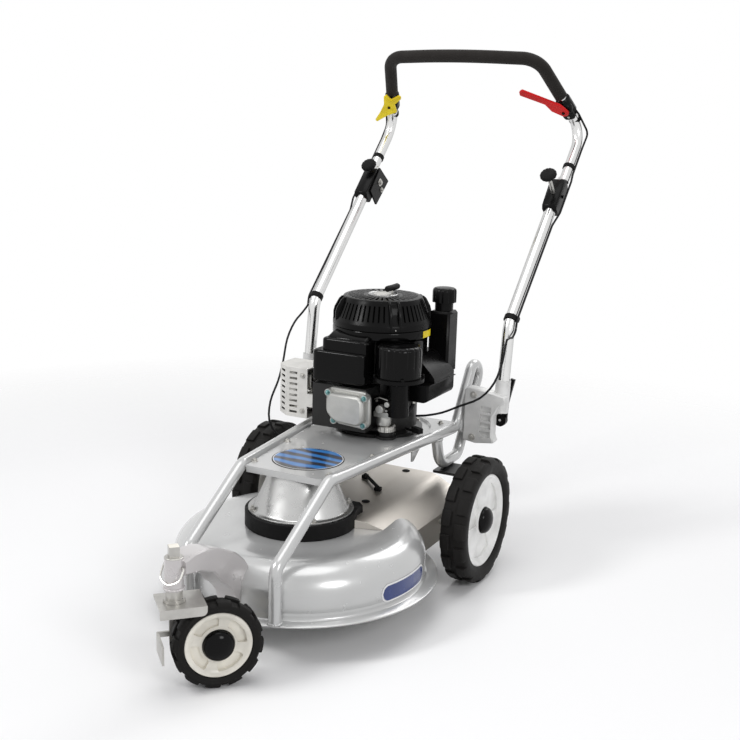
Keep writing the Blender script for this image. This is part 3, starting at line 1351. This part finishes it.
def handle_bracket(name, tilt, side):
    """Ribbed casting that carries a handle tube, with the clamp rod it turns on."""
    inner = HOOP_X + FRAME_TUBE_R + 3.5 * MM + GAP
    y0, z0 = HANDLE_PIVOT
    outer = HANDLE_X + LOWER_TUBE_R + 3 * MM
    outline = [(inner, -48 * MM), (inner + 30 * MM, -52 * MM), (outer - 22 * MM, -46 * MM),
               (outer - 28 * MM, -30 * MM), (outer - 28 * MM, 14 * MM), (outer - 14 * MM, 40 * MM),
               (outer, 52 * MM), (outer, 66 * MM), (inner + 44 * MM, 76 * MM),
               (inner + 6 * MM, 78 * MM), (inner, 70 * MM)]
    outline = [(x * side, z) for x, z in outline]
    front = 122 * MM - y0
    rear = 152 * MM - y0
    casting = solid(name, prism(outline, front, rear, "XZ"), cast_alloy(), tilt)
    soften(casting, 3 * MM)
    pockets = []
    for row in range(BRACKET_RIBS):
        z = -34 * MM + row * 19.5 * MM
        x = sorted((side * (inner + 41 * MM), side * (outer - 32 * MM)))
        pockets.append(box(x, (front - 5 * MM, front + 7 * MM), (z, z + 13.5 * MM)))
    cut(casting, helper(f"{name}_pockets", gathered(pockets), tilt))
    x = sorted((side * inner, side * (CAM_X - CAM_HUB_R - 1 * MM)))
    lug_outline = arc((0, 0), 17 * MM, -90, 90, 6) + [(rear - 8 * MM, 17 * MM), (rear - 8 * MM, -17 * MM)]
    join(casting, helper(f"{name}_lug", prism(lug_outline, x[0], x[1], "YZ"), tilt))
    socket_path = [Vector((side * HANDLE_X, HANDLE_FOOT[0] - y0, 24 * MM)),
                   Vector((side * HANDLE_X, socket_point(98 * MM) - y0, 98 * MM))]
    join(casting, helper(f"{name}_socket", sweep(socket_path, LOWER_TUBE_R + 3.5 * MM, 12), tilt))
    bore_path = [Vector((side * HANDLE_X, socket_point(HANDLE_FOOT[1] - z0) - y0, HANDLE_FOOT[1] - z0)),
                 Vector((side * HANDLE_X, socket_point(120 * MM) - y0, 120 * MM))]
    cut(casting, helper(f"{name}_bore", sweep(bore_path, LOWER_TUBE_R + 2 * GAP, 12), tilt))
    clamp_rod(name, casting, tilt, side)


def clamp_rod(name, casting, tilt, side):
    """Rod through the frame plate, with an eye and a cross pin for the cam lever."""
    near = HOOP_X + 8 * MM
    far = CAM_X - CAM_HUB_R - 2 * MM
    rod = turned(disc(CAM_SHAFT_R, min(side * near, side * far), max(side * near, side * far), 16), "X")
    join(casting, helper(f"{name}_rod", rod, tilt))
    eye = [(x * side, z) for x, z in [(far - 2 * MM, CAM_EYE_R), (far - 2 * MM, -CAM_EYE_R)]
           + arc((CAM_X, 0), CAM_EYE_R, -90, 90, 8)]
    join(casting, helper(f"{name}_eye", prism(eye, -3 * MM, 3 * MM, "XZ"), tilt))
    pin = turned(disc(CAM_PIN_R, -CAM_HALF_WIDTH + 0.5 * MM, CAM_HALF_WIDTH - 0.5 * MM, 12), "Y")
    join(casting, helper(f"{name}_pin", moved(pin, (side * CAM_X, 0, 0)), tilt))


def socket_point(height):
    """y of the handle tube's lower run at a height above the cam shaft."""
    run = (HANDLE_BEND[0] - HANDLE_FOOT[0]) / (HANDLE_BEND[1] - HANDLE_FOOT[1])
    return HANDLE_FOOT[0] + run * (HANDLE_PIVOT[1] + height - HANDLE_FOOT[1])


def cam_lever(name, parent, side):
    """Forked cam lever on the rod's cross pin: it swings outward from upright."""
    half = CAM_HALF_WIDTH
    hub = turned(disc(CAM_HUB_R, -half, half, SMALL_ROUND), "Y")
    lever = solid(name, hub, black_plastic(), parent)
    arm = [(side * x * MM, z * MM) for x, z in ((14, 0), (16, 40), (29, 98), (19, 100), (8, 50), (2, 12))]
    join(lever, helper(f"{name}_arm", prism(arm, -1 * MM, half - 0.5 * MM, "XZ"), parent))
    x = sorted((-side * 25 * MM, side * (CAM_EYE_R + 1 * MM)))
    slot = box(x, (-3.8 * MM, 3.8 * MM), (-25 * MM, CAM_EYE_R + 1 * MM))
    cut(lever, helper(f"{name}_slot", slot, parent))
    bore = turned(disc(bore_radius(CAM_PIN_R, 12), -half - 5 * MM, half + 5 * MM, 12), "Y")
    cut(lever, helper(f"{name}_bore", bore, parent))


def lower_tube(name, tilt, side):
    """Bent lower handle tube from its socket up to the fold clamp."""
    y0, z0 = HANDLE_PIVOT
    x = side * HANDLE_X
    along = Vector((0, 1, 1)).normalized()
    pivot = Vector((x, FOLD_PIVOT[0], FOLD_PIVOT[1]))
    end = pivot - along * 24 * MM
    start = (x, HANDLE_FOOT[0], HANDLE_FOOT[1] + GAP)
    corners = [start, (x, HANDLE_BEND[0], HANDLE_BEND[1]), end]
    path = [point - Vector((0, y0, z0)) for point in rounded_path(corners, [70 * MM])]
    solid(name, sweep(path, LOWER_TUBE_R, 12), polished_tube(), tilt)


def fold_frame(side):
    """Origin and directions of a fold clamp: along the tube and square to it, upward."""
    pivot = Vector((side * HANDLE_X, FOLD_PIVOT[0], FOLD_PIVOT[1]))
    return pivot, Vector((0, 1, 1)).normalized(), Vector((0, -1, 1)).normalized()


def clamp_prism(outline, x0, x1, origin, side):
    """Extrudes an outline given along and square to the tube across the clamp."""
    pivot, along, square = fold_frame(side)
    flat = []
    for a, p in outline:
        point = along * a + square * p
        flat.append((point.y + pivot.y - origin.y, point.z + pivot.z - origin.z))
    x = sorted((pivot.x + x0 - origin.x, pivot.x + x1 - origin.x))
    return prism(flat, x[0], x[1], "YZ")


def fold_clamp(name, tilt, side):
    """Fork at the top of a lower tube with the pin that the upper handle folds on."""
    origin = Vector((0, HANDLE_PIVOT[0], HANDLE_PIVOT[1]))
    wide = CLAMP_HALF_WIDTH
    body = [(-48 * MM, -17 * MM), (36 * MM, -17 * MM), (44 * MM, -8 * MM), (44 * MM, 12 * MM),
            (38 * MM, 20 * MM), (-44 * MM, 20 * MM), (-52 * MM, 10 * MM)]
    clamp = solid(name, clamp_prism(body, -wide, wide, origin, side), black_plastic(), tilt)
    soften(clamp, 2.5 * MM)
    slot_half = TONGUE_HALF_WIDTH + RUNNING
    slot = [(-21 * MM, -40 * MM), (60 * MM, -40 * MM), (60 * MM, 9 * MM), (-12 * MM, 9 * MM),
            (-21 * MM, 0)]
    cut(clamp, helper(f"{name}_slot", clamp_prism(slot, -slot_half, slot_half, origin, side), tilt))
    pivot, along, _ = fold_frame(side)
    start = pivot - along * 70 * MM - origin
    end = pivot - along * (24 * MM - GAP) - origin
    cut(clamp, helper(f"{name}_bore", sweep([start, end], LOWER_TUBE_R + 2 * GAP, 12), tilt))
    pin = turned(disc(FOLD_PIN_R, -wide - 3 * MM, wide + 3 * MM, 12), "X")
    join(clamp, helper(f"{name}_pin", moved(pin, pivot - origin), tilt))
    plate = [(45 * MM, 14 * MM), (-30 * MM, 9 * MM), (-32 * MM, -41 * MM), (55 * MM, -47 * MM)]
    plate = clamp_prism(plate, -side * (wide + 4 * MM), -side * (wide - 1 * MM), origin, side)
    join(clamp, helper(f"{name}_plate", plate, tilt))


def clamp_knob(name, turn, stem):
    """Mushroom knob on a threaded stem, standing square to the tube."""
    profile = [(0, GAP), (4.5 * MM, GAP), (4.5 * MM, stem - 2 * MM), (9 * MM, stem),
               (KNOB_R, stem + 6 * MM), (KNOB_R, stem + 11 * MM), (KNOB_R - 5 * MM, stem + 16 * MM),
               (0, stem + 18 * MM)]
    bm = revolve(profile, 18)
    square = Vector((0, -1, 1)).normalized()
    tip = Vector((0, 0, 1)).rotation_difference(square).to_matrix()
    bmesh.ops.rotate(bm, verts=bm.verts, matrix=tip)
    solid(name, bm, black_plastic(), turn)


def bar_corners():
    """Corner points of the upper handle's tube from left to right."""
    x, y, z = HANDLE_SHOULDER
    along = Vector((0, 1, 1)).normalized()
    start = Vector((UPPER_X, FOLD_PIVOT[0], FOLD_PIVOT[1])) + along * 46 * MM
    right = [start, Vector((UPPER_X, HANDLE_KNEE[0], HANDLE_KNEE[1])), Vector((x, y, z))]
    left = [Vector((-point.x, point.y, point.z)) for point in reversed(right)]
    return right + [Vector((0, HANDLE_BAR[0], HANDLE_BAR[1]))] + left


def upper_handle(fold):
    """One bent tube with a flat tongue at each end that sits on the fold pins."""
    origin = Vector((0, FOLD_PIVOT[0], FOLD_PIVOT[1]))
    bends = [60 * MM, 60 * MM, 500 * MM, 60 * MM, 60 * MM]
    path = [point - origin for point in rounded_path(bar_corners(), bends)]
    handle = solid("upper_handle", sweep(path, UPPER_TUBE_R), polished_tube(), fold)
    for side in (-1, 1):
        tongue = arc((0, 0), 8 * MM, 90, 270, 6)
        tongue += [(48 * MM, -8 * MM), (60 * MM, -4 * MM), (60 * MM, 4 * MM), (48 * MM, 8 * MM)]
        half = TONGUE_HALF_WIDTH
        bm = clamp_prism(tongue, -half, half, origin, side)
        join(handle, helper(f"tongue_{side + 1}", bm, fold))
        bore = turned(disc(FOLD_PIN_R + RUNNING, -30 * MM, 30 * MM, 12), "X")
        bore = moved(bore, (side * HANDLE_X, 0, 0))
        cut(handle, helper(f"tongue_bore_{side + 1}", bore, fold))


def foam_grip(fold):
    """Foam sleeve over the bar, from one side run over the top to the other."""
    origin = Vector((0, FOLD_PIVOT[0], FOLD_PIVOT[1]))
    corners = bar_corners()
    start = corners[1].lerp(corners[2], GRIP_START)
    end = corners[5].lerp(corners[4], GRIP_START)
    wanted = [start, corners[2], corners[3], corners[4], end]
    path = [point - origin for point in rounded_path(wanted, [60 * MM, 500 * MM, 60 * MM])]
    solid("foam_grip", sweep(path, GRIP_R, TUBE_SIDES, bore_radius(UPPER_TUBE_R, TUBE_SIDES)), foam(), fold)


def run_point(share, side):
    """A point on the side run of the upper handle and the direction of that run."""
    corners = bar_corners()
    point = corners[1].lerp(corners[2], share)
    run = (corners[2] - corners[1]).normalized()
    return Vector((point.x * side, point.y, point.z)), Vector((run.x * side, run.y, run.z))


def lever_frame(share, side):
    """Pivot of a hand lever with its directions: along the run, inward and out of the lever."""
    point, run = run_point(share, side)
    inward = Vector((-side, 0, 0))
    normal = run.cross(inward).normalized() * side
    inward = (inward - run * inward.dot(run)).normalized()
    return point, run, inward, normal


def lever_plate(outline, low, high, share, side):
    """Extrudes a lever outline given along the run and inward, square to its own plane."""
    point, run, inward, normal = lever_frame(share, side)
    bm = bmesh.new()
    rings = []
    for height in (low, high):
        ring = [bm.verts.new(run * s + inward * a + normal * height) for s, a in outline]
        rings.append(ring)
    bm.faces.new(rings[0])
    bm.faces.new(rings[1])
    for index in range(len(outline)):
        after = (index + 1) % len(outline)
        bm.faces.new((rings[0][index], rings[0][after], rings[1][after], rings[1][index]))
    return bm


def upper_cable_path(side):
    """Route of a cable beside the upper handle, from its lever housing to the fold."""
    near, run = run_point(HOUSING_SHARES[0] + 0.03, side)
    x = side * (UPPER_X + UPPER_TUBE_R + CABLE_R + 1 * MM)
    start = near + Vector((side * (UPPER_TUBE_R + 4 * MM), 0, 0))
    return [start, near + Vector((side * 24 * MM, 10 * MM, -12 * MM)),
            Vector((x + side * 2 * MM, HANDLE_KNEE[0] - 6 * MM, HANDLE_KNEE[1] - 4 * MM)),
            Vector((x, HANDLE_KNEE[0] - 40 * MM, HANDLE_KNEE[1] - 40 * MM)), cable_break(side)]


def cable_break(side):
    """Where the upper and lower runs of a cable meet beside the fold clamp."""
    x = side * (UPPER_X + UPPER_TUBE_R + CABLE_R + 1 * MM)
    return Vector((x, *FOLD_PIVOT)) + Vector((0, 1, 1)).normalized() * CABLE_BREAK


def lever_housing(name, fold, side):
    """Control housing clamped on a side run, with its lever pin and the cable's upper run."""
    origin = Vector((0, FOLD_PIVOT[0], FOLD_PIVOT[1]))
    near, run = run_point(HOUSING_SHARES[0], side)
    far, run = run_point(HOUSING_SHARES[1], side)
    body = solid(name, sweep([near - origin, far - origin], HOUSING_R, 12,
                             bore_radius(UPPER_TUBE_R, 12)), black_plastic(), fold)
    point, run, inward, normal = lever_frame(LEVER_SHARE, side)
    base = point - origin
    boss = sweep([base + normal * (UPPER_TUBE_R + 3 * MM), base + normal * LEVER_SEAT], 10 * MM, 12)
    join(body, helper(f"{name}_boss", boss, fold))
    pin = sweep([base + normal * (UPPER_TUBE_R + 4 * MM),
                 base + normal * (LEVER_SEAT + LEVER_T + 2.5 * MM)], LEVER_PIN_R, 10)
    join(body, helper(f"{name}_pin", pin, fold))
    path = [point - origin for point in rounded_path(upper_cable_path(side),
                                                     [8 * MM, 14 * MM, 40 * MM])]
    join(body, helper(f"{name}_cable", sweep(path, CABLE_R, 6), fold))


def hand_lever(name, pull, side, outline, finish):
    """Moulded lever on the housing's pin."""
    low = LEVER_SEAT + GAP
    high = LEVER_SEAT + LEVER_T
    lever = solid(name, lever_plate(outline, low, high, LEVER_SHARE, side), finish, pull)
    soften(lever, 2 * MM)
    point, run, inward, normal = lever_frame(LEVER_SHARE, side)
    bore = sweep([normal * (low - 8 * MM), normal * (high + 8 * MM)],
                 bore_radius(LEVER_PIN_R, 10, RUNNING), 10)
    cut(lever, helper(f"{name}_bore", bore, pull))


def stop_lever_outline():
    """Long squeeze lever: round root, broad arm slanting inward to a blunt tip."""
    root = arc((0, 0), 13 * MM, 140, 300, 7)
    return root + [(27 * MM, -3 * MM), (94.5 * MM, 69 * MM), (91 * MM, 79 * MM), (79 * MM, 83 * MM),
                   (36 * MM, 34.5 * MM), (11 * MM, 28 * MM)]


def drive_lever_outline():
    """Two-eared lever with a long pointed tail."""
    return [(-68 * MM, -38 * MM), (-62 * MM, -43 * MM), (-30 * MM, -28 * MM), (5 * MM, -15 * MM),
            (34 * MM, -14 * MM), (43 * MM, -7 * MM), (29 * MM, 6 * MM), (50 * MM, 26 * MM),
            (49 * MM, 33 * MM), (40 * MM, 34 * MM), (13 * MM, 15 * MM), (-2 * MM, 18 * MM),
            (-14 * MM, 20 * MM), (-34 * MM, -6 * MM)]


def lower_cable(name, tilt, side):
    """Cable run beside the lower handle tube, bowed round the fold clamp."""
    origin = Vector((0, HANDLE_PIVOT[0], HANDLE_PIVOT[1]))
    beside = side * (HANDLE_X + LOWER_TUBE_R + CABLE_R + 1 * MM)
    bowed = side * (HANDLE_X + CLAMP_HALF_WIDTH + CABLE_R + 5 * MM)
    start = cable_break(side) - Vector((0, 1, 1)).normalized() * 2 * GAP
    pivot = Vector((0, FOLD_PIVOT[0], FOLD_PIVOT[1]))
    points = [start]
    along = Vector((0, 1, 1)).normalized()
    for x, reach in ((abs(start.x) * side, 72), (bowed, 50), (bowed, -50), (beside, -90)):
        points.append(pivot + Vector((x, 0, 0)) + along * reach * MM)
    points.append(Vector((beside, HANDLE_BEND[0] + 2 * MM, HANDLE_BEND[1] + 10 * MM)))
    points.append(Vector((beside, CABLE_CLIP[0], CABLE_CLIP[1])))
    path = rounded_path(points, [8 * MM, 14 * MM, 30 * MM, 30 * MM, 20 * MM])
    solid(name, sweep([point - origin for point in path], CABLE_R, 6), black_plastic(), tilt)


def smooth_route(points, spacing):
    """Points on a smooth curve through hand-chosen ones."""
    wanted = [Vector(point) * MM for point in points]
    padded = [wanted[0] * 2 - wanted[1]] + wanted + [wanted[-1] * 2 - wanted[-2]]
    route = []
    for a, b, c, d in zip(padded, padded[1:], padded[2:], padded[3:]):
        steps = max(1, round((c - b).length / spacing))
        for step in range(steps):
            t = step / steps
            point = b * 2 + (c - a) * t + (a * 2 - b * 5 + c * 4 - d) * t ** 2
            point += (b * 3 - a - c * 3 + d) * t ** 3
            route.append(point / 2)
    route.append(wanted[-1])
    return route


def engine_cable(name, points):
    """Free stretch of a cable between the clip on the handle and the machine."""
    solid(name, sweep(smooth_route(points, 16 * MM), CABLE_R, 6), black_plastic(), mower)


def rest_on_origin():
    """Moves the machine so that the origin lies under the middle of its bounding box."""
    bpy.context.view_layer.update()
    scene_state = bpy.context.evaluated_depsgraph_get()
    low = Vector((1e9, 1e9, 1e9))
    high = -low
    for piece in bpy.data.objects:
        if piece.type != "MESH" or piece.hide_render:
            continue
        shape = piece.evaluated_get(scene_state)
        for vert in shape.data.vertices:
            place = shape.matrix_world @ vert.co
            low = Vector(map(min, low, place))
            high = Vector(map(max, high, place))
    mower.location = (-(low.x + high.x) / 2, -(low.y + high.y) / 2, -low.z)


def build():
    for old in list(bpy.data.objects):
        bpy.data.objects.remove(old, do_unlink=True)
    global mower
    mower = empty("mower", None)

    deck_shell()
    hub_collar()
    spindle_cone()
    spindle_bearing()
    rear_housing()
    for side, label in ((1, "left"), (-1, "right")):
        side_frame(f"side_frame_{label}", side)
        axle_bracket(f"axle_bracket_{label}", side)
    engine_plate()
    drive_belt()

    crank = empty("crank_spin", mower, (0, ENGINE_Y, 0))
    engine_pulley(crank)
    spindle = empty("blade_spin", mower, (0, DECK_Y, 0))
    blade_spindle(spindle)
    blade(spindle)

    caster_arm()
    swivel = empty("caster_swivel", mower, (0, CASTER_Y, 0), math.radians(CASTER_ANGLE))
    caster_stem(swivel)
    front_spin = empty("front_wheel_spin", swivel, (0, CASTER_TRAIL, FRONT_WHEEL_R))
    web = wheel("front", front_spin, FRONT_WHEEL_R, FRONT_TYRE_WIDTH, FRONT_RIM_R, FRONT_BLOCKS,
                FRONT_POCKET_RADII, FRONT_RIM_POCKETS, 1)
    caster_fork(swivel, web)
    lock_bail(empty("lock_bail_swing", mower, (0, CASTER_Y, BAIL_Z)))

    for side, label in ((1, "left"), (-1, "right")):
        spin = empty(f"rear_{label}_spin", mower, (side * REAR_TRACK_X, 0, REAR_WHEEL_R))
        web = wheel(f"rear_{label}", spin, REAR_WHEEL_R, REAR_TYRE_WIDTH, REAR_RIM_R, REAR_BLOCKS,
                    RIM_POCKET_RADII, RIM_POCKETS, side)
    transaxle(web)

    engine = empty("engine", mower, (0, ENGINE_Y, dish_floor()))
    engine_block(engine)
    valve_cover(engine)
    engine_shroud(engine)
    recoil_cover(engine)
    starter_grip(empty("starter_pull", engine, (GRIP_CENTRE[0], GRIP_CENTRE[1],
                                                SHROUD_Z[1] + COVER_HEIGHT + GRIP_LIFT)))
    starter_rope(engine)
    air_filter(engine)
    fuel_tank(engine)
    fuel_cap(empty("fuel_cap_turn", engine, (FILLER_BOX[0], FILLER_BOX[1], 291 * MM)))
    muffler(engine)
    muffler_guard(engine)

    tilt = empty("handle_tilt", mower, (0, HANDLE_PIVOT[0], HANDLE_PIVOT[1]))
    for side, label in ((1, "left"), (-1, "right")):
        handle_bracket(f"handle_bracket_{label}", tilt, side)
        cam = empty(f"cam_lever_{label}_turn", tilt, (side * CAM_X, 0, 0))
        cam_lever(f"cam_lever_{label}", cam, side)
        lower_tube(f"lower_tube_{label}", tilt, side)
        fold_clamp(f"fold_clamp_{label}", tilt, side)
        pivot, along, square = fold_frame(side)
        place, stem = KNOBS[0 if side > 0 else 1]
        seat = pivot + along * place + square * 20 * MM
        knob = empty(f"knob_{label}_turn", tilt, seat - Vector((0, *HANDLE_PIVOT)))
        clamp_knob(f"clamp_knob_{label}", knob, stem)
    fold = empty("upper_fold", tilt, (0, FOLD_PIVOT[0] - HANDLE_PIVOT[0],
                                      FOLD_PIVOT[1] - HANDLE_PIVOT[1]))
    upper_handle(fold)
    foam_grip(fold)
    levers = (
        ("stop", 1, stop_lever_outline(), red_plastic(), STOP_CABLE),
        ("drive", -1, drive_lever_outline(), yellow_plastic(), DRIVE_CABLE),
    )
    for label, side, outline, finish, route in levers:
        lever_housing(f"{label}_lever_housing", fold, side)
        point = lever_frame(LEVER_SHARE, side)[0]
        pull = empty(f"{label}_lever_pull", fold, point - Vector((0, *FOLD_PIVOT)))
        hand_lever(f"{label}_lever", pull, side, outline, finish)
        lower_cable(f"{label}_cable_lower", tilt, side)
        engine_cable(f"{label}_cable_free", route)
    rest_on_origin()


build()
